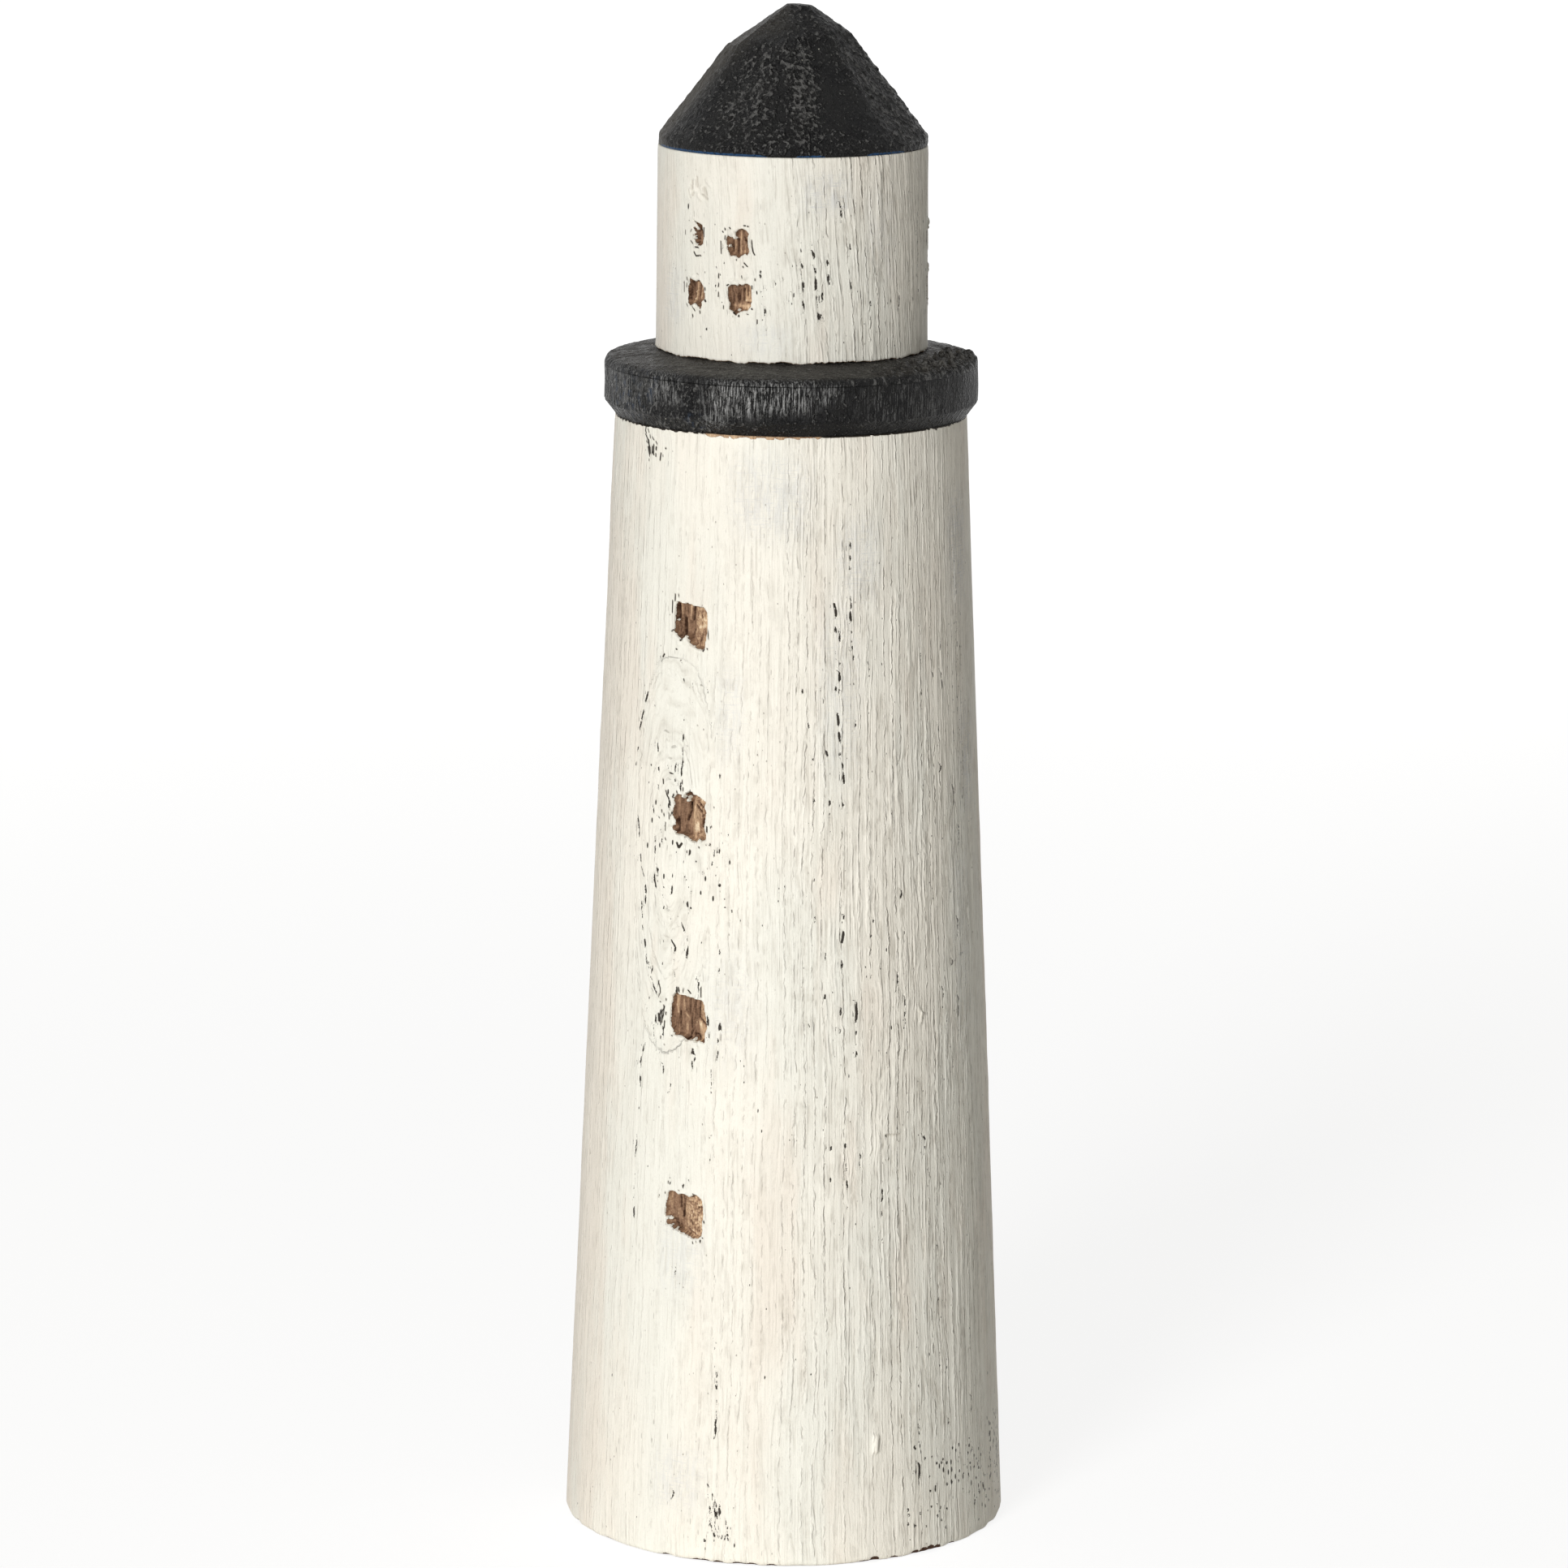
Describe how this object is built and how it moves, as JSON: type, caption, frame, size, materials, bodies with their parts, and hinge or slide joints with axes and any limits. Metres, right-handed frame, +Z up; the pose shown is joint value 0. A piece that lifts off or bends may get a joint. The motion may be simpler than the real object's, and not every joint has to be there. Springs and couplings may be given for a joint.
{
  "type": "lighthouse ornament",
  "caption": "Wooden lighthouse ornament: tapered white tower with carved windows, black gallery disc, round lantern room and black whittled conical roof.",
  "frame": {"origin": "centre of the tower's foot, on the surface that the ornament stands on", "axes": "+Z up along the tower's axis, -Y towards the front, +X to the right as seen from the front"},
  "size_m": [0.0873, 0.0874, 0.3],
  "materials": {
    "white_paint": "brushed chalky off-white paint over grained softwood, rubbed through in places",
    "black_paint": "thick uneven charcoal-black paint over carved softwood, dull with a slight sheen",
    "bare_wood": "bare turned softwood"
  },
  "bodies": {
    "root": {"tower": "white_paint", "gallery": "black_paint", "lantern_room": "white_paint", "roof": "black_paint", "gallery_dowel": "bare_wood", "roof_dowel": "bare_wood"}
  },
  "joints": []
}
